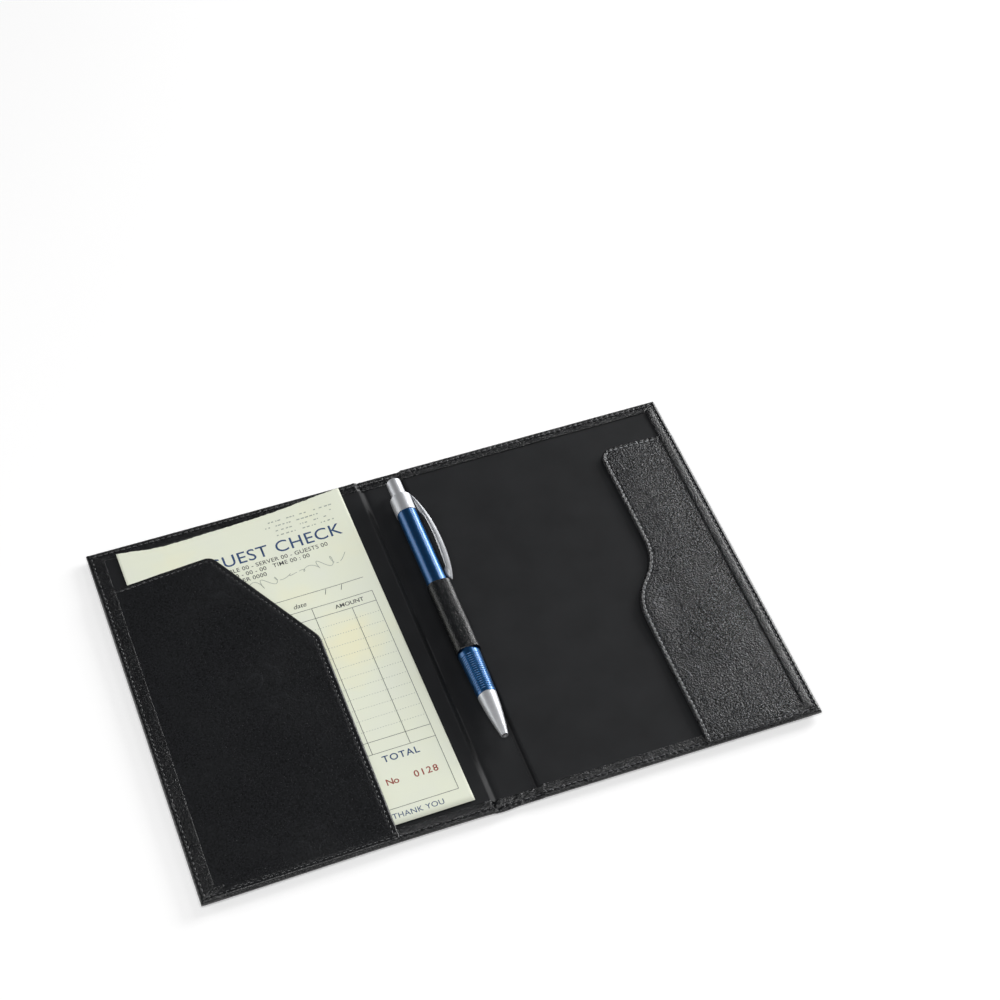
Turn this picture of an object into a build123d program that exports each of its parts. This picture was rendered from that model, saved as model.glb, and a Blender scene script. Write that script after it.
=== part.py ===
from build123d import *
import os
from math import cos, radians, sin

# A guest check presenter: two padded covers joined by a flat spine, lying open,
# with a bill under its pocket and a click pen in the loop on the spine.
# X runs across both covers, Y along the spine, Z up from the table, all in mm.

# ------------------------------ covers
cover_length = 180.0
cover_width = 120.25
spine_width = 19.5
skin_thickness = 0.7
padding_thickness = 0.6
padding_margin = 5.0
board_thickness = 1.4
liner_thickness = 0.25
turn_in_thickness = 0.5
turn_in_side = 6.9
turn_in_end = 5.4
cover_corner_radius = 1.2
cover_under_edge_radius = 0.6
cover_upper_edge_radius = 0.35

# each hinge line is a bare stretch of skin between the cover's board and the spine's filler
hinge_to_board = 1.8
hinge_to_filler = 0.6
filler_thickness = 0.9
spine_liner_thickness = 0.3

# ------------------------------ pockets
pocket_thickness = 0.6
pocket_mouth_gap = 0.6
pocket_seam_width = 2.5
pocket_end_inset = 0.4

bill_pocket_outer_height = 157.0
bill_pocket_rise = 3.2
bill_pocket_shoulder = 42.7
bill_pocket_width = 73.8
bill_pocket_low_height = 104.2
bill_pocket_shoulder_radius = 5.0
bill_pocket_elbow_radius = 10.0

card_pocket_height = 159.2
card_pocket_top_width = 27.9
card_pocket_low_width = 42.9
card_pocket_step_top = 95.8
card_pocket_step_low = 76.9
card_pocket_corner_radius = 6.5
card_pocket_step_radius = 28.0

# ------------------------------ bill
bill_width = 99.5
bill_length = 171.0
bill_thickness = 0.15
bill_under_gap = 0.1
bill_seam_gap = 3.95
bill_shift = 2.3
bill_turn = 0.76

# ------------------------------ pen
pen_tip_y = -60.3
pen_offset = 4.5
nose_length = 20.7
lower_barrel_length = 43.6
upper_barrel_length = 57.3
cap_length = 9.4
button_proud = 10.2

nose_tip_radius = 1.45
nose_waist_radius = 3.1
nose_waist_height = 10.55
nose_top_radius = 4.0
lower_barrel_end_radius = 4.15
grip_radius = 4.8
upper_barrel_radius = 4.5
cap_radius = 4.75
button_radius = 3.2
button_dome_radius = 1.1
cap_edge_radius = 0.5
barrel_bore_radius = 3.5
running_clearance = 0.05

tip_bore_radius = 1.25
spring_pocket_radius = 2.4
spring_seat_height = 10.3
spring_length = 9.0
joint_spigot_length = 6.0
nose_spigot_length = 5.0
spigot_radius = 4.0
cap_spigot_radius = 3.8
cap_spigot_length = 4.5
cap_crown_thickness = 4.0

groove_count = 17
groove_pitch = 1.1
groove_cutter_radius = 0.4
groove_depth = 0.12
groove_margin = 1.6

refill_length = 98.1
refill_recess = 1.0
refill_radius = 2.9
refill_neck_radius = 1.6
refill_point_radius = 1.15
refill_point_length = 14.0
refill_point_taper = 3.0
ball_radius = 0.35
click_stroke = 4.5
click_overrun = 0.5
spring_wire_radius = 0.18
spring_turns = 7

rotor_length = 7.2
rotor_radius = 2.45
rotor_rib_radius = 2.85
rotor_rib_width = 1.2
rotor_rib_length = 3.6
plunger_head_radius = 2.85
plunger_head_length = 6.0
plunger_tooth_depth = 0.8
tooth_count = 4
sleeve_wall = 0.45
sleeve_overlap = 4.0
button_flange_radius = 3.45
button_flange_length = 2.4
button_wall = 0.7
button_crown_thickness = 3.2

# ------------------------------ clip
# reaches are measured out from the pen's axis, heights up from the clip's tip
clip_roll = 16.0
clip_top_drop = 1.0
clip_length = 49.5
clip_reach = 9.25
clip_belly_height = 22.4
clip_arm_thickness = 2.15
clip_hollow_height = 24.3
clip_shoulder_reach = 7.6
clip_shoulder_height = 40.1
clip_root_reach = 5.9
clip_root_length = 7.8
clip_tip_reach = 6.3
clip_heel_reach = 8.0
clip_foot_height = 6.3
clip_sole_height = 4.4
clip_instep_reach = 6.35
clip_instep_height = 13.5
clip_foot_gap = 0.1
clip_width = 3.4
clip_tip_width = 1.0
clip_taper_length = 9.0
clip_root_slant = 1.2
tang_width = 1.6
tang_drop = 2.4
tang_length = 4.0

# ------------------------------ pen loop
loop_length = 37.0
loop_clearance = 0.1
loop_thickness = 0.5
loop_seat_gap = 0.12
loop_stop_gap = 0.5
loop_tab_inset = 0.2

# ------------------------------ heights and places worked out
half_length = cover_length / 2
half_spine = spine_width / 2
fore_edge = half_spine + cover_width
padding_z = skin_thickness
board_z = padding_z + padding_thickness
board_top = board_z + board_thickness
liner_top = board_top + liner_thickness
turn_in_top = board_top + turn_in_thickness
board_edge = half_spine + hinge_to_board
board_start = board_edge + liner_thickness
inner_fore_edge = fore_edge - skin_thickness
inner_half_length = half_length - skin_thickness
window_fore = fore_edge - turn_in_side
window_half_length = half_length - turn_in_end
filler_edge = half_spine - hinge_to_filler
filler_top = skin_thickness + filler_thickness
spine_top = filler_top + spine_liner_thickness
pocket_z = turn_in_top + pocket_mouth_gap
pocket_low_y = pocket_end_inset - half_length

loop_bore_radius = grip_radius + loop_clearance
loop_radius = loop_bore_radius + loop_thickness
pen_x = pen_offset
pen_z = spine_top + loop_seat_gap + loop_radius
nose_top_y = pen_tip_y + nose_length
joint_y = nose_top_y + lower_barrel_length
cap_y = joint_y + upper_barrel_length
cap_top_y = cap_y + cap_length
button_top_y = cap_top_y + button_proud
cap_crown_y = cap_top_y - cap_crown_thickness
clip_top_y = cap_top_y - clip_top_drop
clip_tip_y = clip_top_y - clip_length
loop_high_y = clip_tip_y - loop_stop_gap

pen_axis = Axis((pen_x, 0, pen_z), (0, 1, 0))
pen_side = Plane(origin=(pen_x, 0, pen_z), x_dir=(1, 0, 0), z_dir=(0, 0, 1))
clip_out = Vector(cos(radians(clip_roll)), 0, sin(radians(clip_roll)))
clip_across = Vector(-sin(radians(clip_roll)), 0, cos(radians(clip_roll)))
clip_side = Plane(origin=(pen_x, 0, pen_z), x_dir=clip_out, z_dir=clip_across)
clip_front = Plane(origin=(pen_x, 0, pen_z), x_dir=-clip_across, z_dir=clip_out)

os.makedirs("parts", exist_ok=True)


def finish(piece, name):
    piece.part.label = name
    export_step(piece.part, f"parts/{name}.step")


def span(low_x, high_x, low_y, high_y, mode=Mode.ADD):
    with Locations(((low_x + high_x) / 2, (low_y + high_y) / 2)):
        Rectangle(abs(high_x - low_x), high_y - low_y, mode=mode)


def pen_ring(low_y, high_y, outer, inner=0.0):
    span(inner, outer, low_y, high_y)


# ------------------------------ the two covers, which mirror each other
for cover, side in (("back", 1), ("front", -1)):
    # skin: the outer sheet, turned up round three edges and in over the board
    with BuildPart() as skin:
        with BuildSketch() as sheet:
            span(side * half_spine, side * fore_edge, -half_length, half_length)
            fore_corners = sheet.vertices().group_by(Axis.X)[-1 if side > 0 else 0]
            fillet(fore_corners, cover_corner_radius)
        extrude(amount=skin_thickness)
        with BuildSketch(Plane.XY.offset(skin_thickness)) as wall:
            span(side * board_edge, side * fore_edge, -half_length, half_length)
            fore_corners = wall.vertices().group_by(Axis.X)[-1 if side > 0 else 0]
            fillet(fore_corners, cover_corner_radius)
            span(side * board_edge, side * inner_fore_edge, -inner_half_length, inner_half_length,
                 Mode.SUBTRACT)
        extrude(amount=turn_in_top - skin_thickness)
        with BuildSketch(Plane.XY.offset(board_top)):
            span(side * board_edge, side * inner_fore_edge, -inner_half_length, inner_half_length)
            span(side * board_edge, side * window_fore, -window_half_length, window_half_length,
                 Mode.SUBTRACT)
        extrude(amount=turn_in_thickness)
        for face, radius in ((0, cover_under_edge_radius), (-1, cover_upper_edge_radius)):
            rim = skin.faces().sort_by(Axis.Z)[face].outer_wire().edges()
            fore_edges = rim.filter_by(lambda e: abs(e.center().X) > inner_fore_edge)
            end_edges = rim.filter_by(lambda e: abs(e.center().Y) > inner_half_length)
            fillet(set(fore_edges + end_edges), radius)
    finish(skin, f"{cover}_cover_skin")

    # padding: stops short of the board's edges, so that the seam round them lies flat
    with BuildPart() as padding:
        with BuildSketch(Plane.XY.offset(padding_z)):
            span(side * (board_start + padding_margin), side * (inner_fore_edge - padding_margin),
                 padding_margin - inner_half_length, inner_half_length - padding_margin)
        extrude(amount=padding_thickness)
    finish(padding, f"{cover}_cover_padding")

    with BuildPart() as board:
        with BuildSketch(Plane.XY.offset(board_z)):
            span(side * board_start, side * inner_fore_edge, -inner_half_length, inner_half_length)
        extrude(amount=board_thickness)
    finish(board, f"{cover}_cover_board")

    # liner: lies between the turn-ins and folds down over the board's edge at the hinge line
    with BuildPart() as liner:
        with BuildSketch(Plane.XY.offset(skin_thickness)):
            span(side * board_edge, side * board_start, -inner_half_length, inner_half_length)
        extrude(amount=board_top - skin_thickness)
        with BuildSketch(Plane.XY.offset(board_top)):
            span(side * board_edge, side * window_fore, -window_half_length, window_half_length)
        extrude(amount=liner_thickness)
    finish(liner, f"{cover}_cover_liner")

# ------------------------------ spine
with BuildPart() as spine_skin:
    with BuildSketch():
        span(-half_spine, half_spine, -half_length, half_length)
    extrude(amount=skin_thickness)
    with BuildSketch(Plane.XY.offset(skin_thickness)):
        span(-filler_edge, filler_edge, -half_length, half_length)
        span(-filler_edge, filler_edge, -inner_half_length, inner_half_length, Mode.SUBTRACT)
    extrude(amount=filler_thickness)
    with BuildSketch(Plane.XY.offset(filler_top)):
        span(-filler_edge, filler_edge, -half_length, half_length)
        span(-filler_edge, filler_edge, -window_half_length, window_half_length, Mode.SUBTRACT)
    extrude(amount=turn_in_thickness)
    under_edges = spine_skin.faces().sort_by(Axis.Z)[0].edges().filter_by(Axis.X)
    fillet(under_edges, cover_under_edge_radius)
    upper_edges = spine_skin.edges().filter_by(Axis.X).group_by(Axis.Z)[-1]
    end_edges = upper_edges.filter_by(lambda e: abs(e.center().Y) > inner_half_length)
    fillet(end_edges, cover_upper_edge_radius)
finish(spine_skin, "spine_skin")

with BuildPart() as spine_filler:
    with BuildSketch(Plane.XY.offset(skin_thickness)):
        span(-filler_edge, filler_edge, -inner_half_length, inner_half_length)
    extrude(amount=filler_thickness)
finish(spine_filler, "spine_filler")

with BuildPart() as spine_liner:
    with BuildSketch(Plane.XY.offset(filler_top)):
        span(-filler_edge, filler_edge, -window_half_length, window_half_length)
    extrude(amount=spine_liner_thickness)
finish(spine_liner, "spine_liner")

# ------------------------------ bill pocket on the front cover
bill_pocket_inner = bill_pocket_width - window_fore
shoulder_x = bill_pocket_shoulder - window_fore
outer_top_y = pocket_low_y + bill_pocket_outer_height
shoulder_y = outer_top_y + bill_pocket_rise
elbow_y = pocket_low_y + bill_pocket_low_height
with BuildPart() as bill_pocket:
    with BuildSketch(Plane.XY.offset(pocket_z)) as sheet:
        with BuildLine():
            Polyline(
                (-window_fore, pocket_low_y),
                (bill_pocket_inner, pocket_low_y),
                (bill_pocket_inner, elbow_y),
                (shoulder_x, shoulder_y),
                (-window_fore, outer_top_y),
                close=True,
            )
        make_face()
        elbow = sheet.vertices().sort_by_distance((bill_pocket_inner, elbow_y, pocket_z))[0]
        fillet(elbow, bill_pocket_elbow_radius)
        shoulder = sheet.vertices().sort_by_distance((shoulder_x, shoulder_y, pocket_z))[0]
        fillet(shoulder, bill_pocket_shoulder_radius)
    extrude(amount=pocket_thickness)
    # the seams hold the pocket down along the fore edge and the foot
    with BuildSketch(Plane.XY.offset(liner_top)):
        span(-window_fore, pocket_seam_width - window_fore, -window_half_length, outer_top_y)
    extrude(amount=pocket_z - liner_top)
    with BuildSketch(Plane.XY.offset(turn_in_top)):
        span(-window_fore, bill_pocket_inner, pocket_low_y, pocket_low_y + pocket_seam_width)
    extrude(amount=pocket_z - turn_in_top)
finish(bill_pocket, "bill_pocket")

# ------------------------------ card pocket on the back cover
card_low_x = window_fore - card_pocket_low_width
card_top_x = window_fore - card_pocket_top_width
card_top_y = pocket_low_y + card_pocket_height
step_top_y = pocket_low_y + card_pocket_step_top
step_low_y = pocket_low_y + card_pocket_step_low
with BuildPart() as card_pocket:
    with BuildSketch(Plane.XY.offset(pocket_z)) as sheet:
        with BuildLine():
            Polyline(
                (window_fore, pocket_low_y),
                (window_fore, card_top_y),
                (card_top_x, card_top_y),
                (card_top_x, step_top_y),
                (card_low_x, step_low_y),
                (card_low_x, pocket_low_y),
                close=True,
            )
        make_face()
        corner = sheet.vertices().sort_by_distance((card_top_x, card_top_y, pocket_z))[0]
        fillet(corner, card_pocket_corner_radius)
        for x, y in ((card_top_x, step_top_y), (card_low_x, step_low_y)):
            step = sheet.vertices().sort_by_distance((x, y, pocket_z))[0]
            fillet(step, card_pocket_step_radius)
    extrude(amount=pocket_thickness)
    with BuildSketch(Plane.XY.offset(liner_top)):
        span(window_fore - pocket_seam_width, window_fore, -window_half_length, card_top_y)
    extrude(amount=pocket_z - liner_top)
    with BuildSketch(Plane.XY.offset(turn_in_top)):
        span(card_low_x, window_fore, pocket_low_y, pocket_low_y + pocket_seam_width)
    extrude(amount=pocket_z - turn_in_top)
finish(card_pocket, "card_pocket")

# ------------------------------ bill
bill_x = bill_width / 2 + bill_seam_gap + pocket_seam_width - window_fore
bill_plane = Plane(origin=(bill_x, bill_shift, turn_in_top + bill_under_gap))
with BuildPart() as bill_slip:
    with BuildSketch(bill_plane):
        Rectangle(bill_width, bill_length, rotation=bill_turn)
    extrude(amount=bill_thickness)
finish(bill_slip, "bill_slip")

# ------------------------------ pen loop: a tube with a tab under it
loop_plane = Plane(origin=(pen_x, loop_high_y, pen_z), x_dir=(1, 0, 0), z_dir=(0, -1, 0))
tab_reach = filler_edge - loop_tab_inset - pen_x
with BuildPart() as pen_loop:
    with BuildSketch(loop_plane):
        Circle(loop_radius)
        span(0, tab_reach, -loop_radius, loop_thickness - loop_radius)
        Circle(loop_bore_radius, mode=Mode.SUBTRACT)
    extrude(amount=loop_length)
finish(pen_loop, "pen_loop")

# ------------------------------ pen: nose cone
spring_seat_y = pen_tip_y + spring_seat_height
spring_top_y = spring_seat_y + spring_length
refill_pocket_y = spring_top_y - click_stroke - click_overrun
nose_bore_radius = refill_radius + running_clearance
nose_spigot_radius = barrel_bore_radius - running_clearance
nose_spigot_y = nose_top_y + nose_spigot_length
with BuildPart() as nose_cone:
    with BuildSketch(pen_side):
        with BuildLine():
            Polyline(
                (nose_top_radius, nose_top_y),
                (nose_spigot_radius, nose_top_y),
                (nose_spigot_radius, nose_spigot_y),
                (0, nose_spigot_y),
                (0, pen_tip_y),
                (nose_tip_radius, pen_tip_y),
            )
            ThreePointArc(
                (nose_tip_radius, pen_tip_y),
                (nose_waist_radius, pen_tip_y + nose_waist_height),
                (nose_top_radius, nose_top_y),
            )
        make_face()
    revolve(axis=pen_axis)
    with BuildSketch(pen_side):
        pen_ring(pen_tip_y, spring_seat_y, tip_bore_radius)
        pen_ring(spring_seat_y, refill_pocket_y, spring_pocket_radius)
        pen_ring(refill_pocket_y, nose_spigot_y, nose_bore_radius)
    revolve(axis=pen_axis, mode=Mode.SUBTRACT)
finish(nose_cone, "nose_cone")

# ------------------------------ pen: lower barrel, with fine rings round the grip
joint_socket_y = joint_y - joint_spigot_length
grip_low_y = loop_high_y - loop_length
grip_taper = (grip_radius - lower_barrel_end_radius) / (grip_low_y - nose_top_y)
with BuildPart() as lower_barrel:
    with BuildSketch(pen_side):
        with BuildLine():
            Polyline(
                (barrel_bore_radius, nose_top_y),
                (lower_barrel_end_radius, nose_top_y),
                (grip_radius, grip_low_y),
                (grip_radius, joint_y),
                (spigot_radius + running_clearance, joint_y),
                (spigot_radius + running_clearance, joint_socket_y),
                (barrel_bore_radius, joint_socket_y),
                close=True,
            )
        make_face()
    revolve(axis=pen_axis)
    with BuildSketch(pen_side):
        for ring in range(groove_count):
            groove_y = nose_top_y + groove_margin + ring * groove_pitch
            groove_r = lower_barrel_end_radius + grip_taper * (groove_y - nose_top_y)
            with Locations((groove_r - groove_depth + groove_cutter_radius, groove_y)):
                Circle(groove_cutter_radius)
    revolve(axis=pen_axis, mode=Mode.SUBTRACT)
finish(lower_barrel, "lower_barrel")

# ------------------------------ pen: upper barrel, spigots at both ends
with BuildPart() as upper_barrel:
    with BuildSketch(pen_side):
        pen_ring(joint_socket_y, joint_y, spigot_radius, barrel_bore_radius)
        pen_ring(joint_y, cap_y, upper_barrel_radius, barrel_bore_radius)
        pen_ring(cap_y, cap_y + cap_spigot_length, cap_spigot_radius, barrel_bore_radius)
    revolve(axis=pen_axis)
finish(upper_barrel, "upper_barrel")

# ------------------------------ pen: cap, which turns on the upper spigot
tang_top_y = clip_top_y - tang_drop
tang_end_radius = cap_spigot_radius + 2 * running_clearance
with BuildPart() as pen_cap:
    with BuildSketch(pen_side):
        pen_ring(cap_y + running_clearance, cap_crown_y, cap_radius, cap_spigot_radius + running_clearance)
        pen_ring(cap_crown_y, cap_top_y, cap_radius, button_radius + running_clearance)
    revolve(axis=pen_axis)
    crown_edges = pen_cap.edges().filter_by(GeomType.CIRCLE).group_by(Axis.Y)[-1]
    fillet(crown_edges.sort_by(SortBy.RADIUS)[-1], cap_edge_radius)
    # slot for the clip's tang
    with BuildSketch(clip_side):
        span(cap_spigot_radius, cap_radius + clip_root_slant, tang_top_y - tang_length, tang_top_y)
    extrude(amount=tang_width / 2, both=True, mode=Mode.SUBTRACT)
finish(pen_cap, "pen_cap")

# ------------------------------ pen: clip, a bowed arm with a foot on the barrel
foot_r = upper_barrel_radius + clip_foot_gap
foot_top_y = clip_tip_y + clip_foot_height
root_low_y = clip_top_y - clip_root_length
with BuildPart() as pen_clip:
    with BuildSketch(clip_side):
        with BuildLine():
            Spline(
                (cap_radius, clip_top_y),
                (clip_shoulder_reach, clip_tip_y + clip_shoulder_height),
                (clip_reach, clip_tip_y + clip_belly_height),
                (clip_heel_reach, foot_top_y),
                (clip_tip_reach, clip_tip_y),
            )
            Polyline(
                (clip_tip_reach, clip_tip_y),
                (foot_r, clip_tip_y + clip_sole_height),
                (foot_r, foot_top_y),
            )
            Spline(
                (foot_r, foot_top_y),
                (clip_instep_reach, clip_tip_y + clip_instep_height),
                (clip_reach - clip_arm_thickness, clip_tip_y + clip_hollow_height),
                (clip_root_reach, root_low_y - clip_root_slant),
            )
            Polyline(
                (clip_root_reach, root_low_y - clip_root_slant),
                (cap_spigot_radius, root_low_y),
                (cap_spigot_radius, clip_top_y),
                (cap_radius, clip_top_y),
            )
        make_face()
    extrude(amount=clip_width / 2, both=True)
    # the arm's plan: parallel sides that draw in to the tip
    with BuildSketch(clip_front):
        with BuildLine():
            Polyline(
                (-clip_tip_width / 2, clip_tip_y),
                (clip_tip_width / 2, clip_tip_y),
                (clip_width / 2, clip_tip_y + clip_taper_length),
                (clip_width / 2, clip_top_y),
                (-clip_width / 2, clip_top_y),
                (-clip_width / 2, clip_tip_y + clip_taper_length),
                close=True,
            )
        make_face()
    extrude(amount=2 * clip_reach, mode=Mode.INTERSECT)
    # the root fits round the cap, and its tang goes through the cap's wall
    with BuildSketch(pen_side):
        pen_ring(root_low_y - clip_root_slant, cap_top_y, cap_radius)
    revolve(axis=pen_axis, mode=Mode.SUBTRACT)
    with BuildSketch(clip_side):
        span(tang_end_radius, cap_radius + clip_root_slant, tang_top_y - tang_length, tang_top_y)
    extrude(amount=tang_width / 2, both=True)
finish(pen_clip, "pen_clip")

# ------------------------------ pen: button, a shell with a flange under the crown
button_flange_y = cap_crown_y - running_clearance
button_foot_y = button_flange_y - button_flange_length
button_hollow_y = button_top_y - button_crown_thickness
button_bore_radius = button_radius - button_wall
with BuildPart() as push_button:
    with BuildSketch(pen_side):
        pen_ring(button_foot_y, button_flange_y, button_flange_radius)
        pen_ring(button_flange_y, button_top_y, button_radius)
    revolve(axis=pen_axis)
    dome_edge = push_button.edges().filter_by(GeomType.CIRCLE).group_by(Axis.Y)[-1]
    fillet(dome_edge, button_dome_radius)
    with BuildSketch(pen_side):
        pen_ring(button_foot_y, button_hollow_y, button_bore_radius)
    revolve(axis=pen_axis, mode=Mode.SUBTRACT)
finish(push_button, "push_button")

# ------------------------------ pen: plunger with crown teeth over the rotor
refill_low_y = pen_tip_y + refill_recess
refill_end_y = refill_low_y + refill_length
rotor_top_y = refill_end_y + rotor_length
plunger_radius = button_bore_radius - running_clearance
plunger_head_y = rotor_top_y + plunger_head_length
tooth_plane = Plane(origin=(pen_x, rotor_top_y, pen_z), x_dir=(1, 0, 0), z_dir=(0, 1, 0))
with BuildPart() as click_plunger:
    with BuildSketch(pen_side):
        pen_ring(rotor_top_y, plunger_head_y, plunger_head_radius)
        pen_ring(plunger_head_y, button_hollow_y, plunger_radius)
    revolve(axis=pen_axis)
    with BuildSketch(tooth_plane):
        with PolarLocations(plunger_head_radius, tooth_count):
            Rectangle(plunger_head_radius, plunger_head_radius / 2, rotation=45)
    extrude(amount=plunger_tooth_depth, mode=Mode.SUBTRACT)
finish(click_plunger, "click_plunger")

# ------------------------------ pen: ribbed rotor on the end of the refill
with BuildPart() as click_rotor:
    with BuildSketch(pen_side):
        pen_ring(refill_end_y, rotor_top_y, rotor_radius)
    revolve(axis=pen_axis)
    rib_plane = tooth_plane.offset(-(rotor_length + rotor_rib_length) / 2)
    with BuildSketch(rib_plane):
        with PolarLocations(rotor_rib_radius / 2, tooth_count):
            Rectangle(rotor_rib_radius, rotor_rib_width)
    extrude(amount=rotor_rib_length)
    with BuildSketch(pen_side):
        pen_ring(refill_end_y, rotor_top_y, rotor_rib_radius)
    revolve(axis=pen_axis, mode=Mode.INTERSECT)
finish(click_rotor, "click_rotor")

# ------------------------------ pen: sleeve fixed in the upper barrel, round rotor and plunger
sleeve_radius = barrel_bore_radius - running_clearance
sleeve_low_y = refill_end_y - sleeve_overlap
sleeve_top_y = button_foot_y - click_stroke - click_overrun
with BuildPart() as click_sleeve:
    with BuildSketch(pen_side):
        pen_ring(sleeve_low_y, sleeve_top_y, sleeve_radius, sleeve_radius - sleeve_wall)
    revolve(axis=pen_axis)
finish(click_sleeve, "click_sleeve")

# ------------------------------ pen: refill tube, writing point and return spring
neck_low_y = refill_low_y + refill_point_length
with BuildPart() as refill_tube:
    with BuildSketch(pen_side):
        pen_ring(neck_low_y, spring_top_y, refill_neck_radius)
        pen_ring(spring_top_y, refill_end_y, refill_radius)
    revolve(axis=pen_axis)
finish(refill_tube, "refill_tube")

with BuildPart() as refill_point:
    with BuildSketch(pen_side):
        with BuildLine():
            Polyline(
                (0, refill_low_y),
                (ball_radius, refill_low_y),
                (refill_point_radius, refill_low_y + refill_point_taper),
                (refill_point_radius, neck_low_y),
                (0, neck_low_y),
                close=True,
            )
        make_face()
    revolve(axis=pen_axis)
finish(refill_point, "refill_point")

coil_radius = (spring_pocket_radius + refill_neck_radius) / 2 - running_clearance
coil_height = spring_length - 2 * spring_wire_radius
coil_start = (pen_x, spring_seat_y + spring_wire_radius, pen_z)
with BuildPart() as refill_spring:
    with BuildLine() as coil:
        Helix(coil_height / spring_turns, coil_height, coil_radius, coil_start, (0, 1, 0))
    with BuildSketch(Plane(origin=coil.line @ 0, z_dir=coil.line % 0)):
        Circle(spring_wire_radius)
    sweep(is_frenet=True)
finish(refill_spring, "refill_spring")
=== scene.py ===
import bpy
import random
from math import atan2, cos, exp, hypot, pi, radians, sin
from mathutils import Matrix, Vector, noise


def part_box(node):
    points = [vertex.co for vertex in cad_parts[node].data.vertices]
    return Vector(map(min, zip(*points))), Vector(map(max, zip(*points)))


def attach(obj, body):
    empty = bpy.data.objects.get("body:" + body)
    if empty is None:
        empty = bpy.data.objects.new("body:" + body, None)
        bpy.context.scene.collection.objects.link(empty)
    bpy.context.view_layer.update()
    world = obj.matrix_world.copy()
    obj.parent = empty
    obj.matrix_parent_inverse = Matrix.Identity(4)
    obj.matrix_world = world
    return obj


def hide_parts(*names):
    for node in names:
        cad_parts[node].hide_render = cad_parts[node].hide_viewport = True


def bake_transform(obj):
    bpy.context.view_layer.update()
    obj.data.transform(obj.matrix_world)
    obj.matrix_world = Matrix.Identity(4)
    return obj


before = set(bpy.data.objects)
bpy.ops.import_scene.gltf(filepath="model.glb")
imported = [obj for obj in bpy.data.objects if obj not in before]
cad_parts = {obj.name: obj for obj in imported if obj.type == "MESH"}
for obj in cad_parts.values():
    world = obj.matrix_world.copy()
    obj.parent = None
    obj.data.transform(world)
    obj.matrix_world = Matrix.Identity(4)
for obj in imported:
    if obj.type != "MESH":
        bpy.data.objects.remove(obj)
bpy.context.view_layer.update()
mm = 0.001
print("frame loaded:", len(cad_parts), "nodes")


def corner(node, end):  # a CAD node's lowest (0) or highest (1) corner, in mm
    return [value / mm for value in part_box(node)[end]]


def ticks(start, *runs):  # marks from start on, each run given as (its end, its longest step)
    marks = [start]
    for end, step in runs:
        first = marks[-1]
        count = max(1, round(abs(end - first) / step))
        marks += [first + (end - first) * k / count for k in range(1, count + 1)]
    return marks


def ease(low, high, value):  # 0 at low, 1 at high, and smooth between them
    share = min(max((value - low) / (high - low), 0), 1)
    return share * share * (3 - 2 * share)


def bell(distance, width):
    return exp(-(distance / width) ** 2)


def ripple(x, y, size, layer=0):  # smooth random height from about -1 to 1
    return noise.noise(Vector((x / size, y / size, layer * 7.3)))


def only(*pieces):  # selects these and nothing else
    bpy.ops.object.select_all(action="DESELECT")
    for piece in pieces:
        piece.select_set(True)
    bpy.context.view_layer.objects.active = pieces[0]


def onAll(operator, **settings):  # an edit mode operator, run on the whole of the active piece
    bpy.ops.object.mode_set(mode="EDIT")
    bpy.ops.mesh.select_all(action="SELECT")
    operator(**settings)
    bpy.ops.object.mode_set(mode="OBJECT")


def gridSheet(name, columns, rows, place):
    # a flat grid, each of its points moved to where place says; None takes the point away
    bpy.ops.object.select_all(action="DESELECT")
    acrossCount, alongCount = len(columns) - 1, len(rows) - 1
    bpy.ops.mesh.primitive_grid_add(x_subdivisions=acrossCount, y_subdivisions=alongCount, size=2)
    sheet = bpy.context.object
    sheet.name = sheet.data.name = name
    spare = []
    for point in sheet.data.vertices:
        column = columns[round((point.co.x + 1) / 2 * acrossCount)]
        row = rows[round((point.co.y + 1) / 2 * alongCount)]
        spot = place(column, row)
        if spot is None:
            spare.append(point.index)
        else:
            point.co = Vector(spot) * mm
    if spare:
        bpy.ops.object.mode_set(mode="EDIT")
        bpy.ops.mesh.select_mode(type="VERT")
        bpy.ops.mesh.select_all(action="DESELECT")
        bpy.ops.object.mode_set(mode="OBJECT")
        for index in spare:
            sheet.data.vertices[index].select = True
        bpy.ops.object.mode_set(mode="EDIT")
        bpy.ops.mesh.delete(type="VERT")
        bpy.ops.object.mode_set(mode="OBJECT")
        onAll(bpy.ops.mesh.remove_doubles, threshold=0.02 * mm)
    return sheet


def thicken(sheet, thickness):  # gives the sheet its wall, on its inner side
    only(sheet)
    wall = sheet.modifiers.new("wall", "SOLIDIFY")
    wall.thickness = thickness * mm
    wall.offset = -1
    wall.use_even_offset = False
    bpy.ops.object.modifier_apply(modifier="wall")
    bpy.ops.object.shade_smooth()


def paint(piece, material):
    piece.data.materials.clear()
    piece.data.materials.append(material)


def roundedPath(points, radii, step=1.2):  # points in mm; each inner corner is rounded by its radius
    path = [Vector(points[0])]
    for before, here, after, radius in zip(points, points[1:], points[2:], radii):
        before, here, after = Vector(before), Vector(here), Vector(after)
        back, on = (before - here).normalized(), (after - here).normalized()
        half = back.angle(on) / 2
        centre = here + (back + on).normalized() * radius / sin(half)
        start = here + back * radius / (sin(half) / cos(half))
        end = here + on * radius / (sin(half) / cos(half))
        turn = (start - centre).angle_signed(end - centre)
        count = max(2, round(abs(turn) * radius / step))
        arm = start - centre
        for k in range(count + 1):
            swing = Matrix.Rotation(-turn * k / count, 2)
            path.append(centre + swing @ arm)
    path.append(Vector(points[-1]))
    return path


def pathLength(path):
    return sum((b - a).length for a, b in zip(path, path[1:]))


def along(path, distance):  # the point and the direction at that distance from the path's start
    for a, b in zip(path, path[1:]):
        run = (b - a).length
        if distance <= run or b is path[-1]:
            return a + (b - a) * min(distance / run, 1), (b - a).normalized()
        distance -= run


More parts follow.
